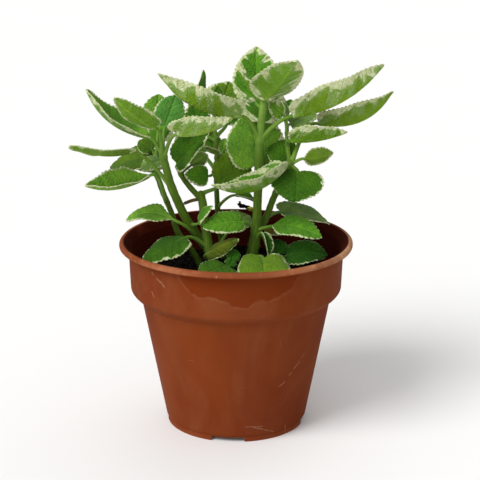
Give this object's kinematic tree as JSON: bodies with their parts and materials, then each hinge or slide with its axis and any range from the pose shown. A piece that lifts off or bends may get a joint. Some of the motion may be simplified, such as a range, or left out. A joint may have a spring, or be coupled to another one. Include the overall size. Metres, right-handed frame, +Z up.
{
  "type": "potted cuban oregano",
  "caption": "Bushy herb with soft, round-toothed, cream-edged leaves on fleshy stems, growing in a round tapered plastic nursery pot with a deep collar and a notched foot.",
  "frame": {"origin": "middle of the pot's foot, on the surface that it stands on", "axes": "+Z up, -Y towards the side that the picture shows, +X to the right of it"},
  "size_m": [0.2024, 0.15, 0.2448],
  "materials": {
    "pot": "matte terracotta-coloured plastic, a little dusty",
    "soil": "rough dark peat mix",
    "leaf": "velvety green leaf with an irregular cream edge"
  },
  "bodies": {
    "root": {"pot": "pot", "soil": "soil", "stem_tall": "leaf", "stem_left": "leaf", "stem_left_rear": "leaf", "stem_middle": "leaf", "stem_rear": "leaf", "shoot_right": "leaf", "shoot_front": "leaf"}
  },
  "joints": []
}
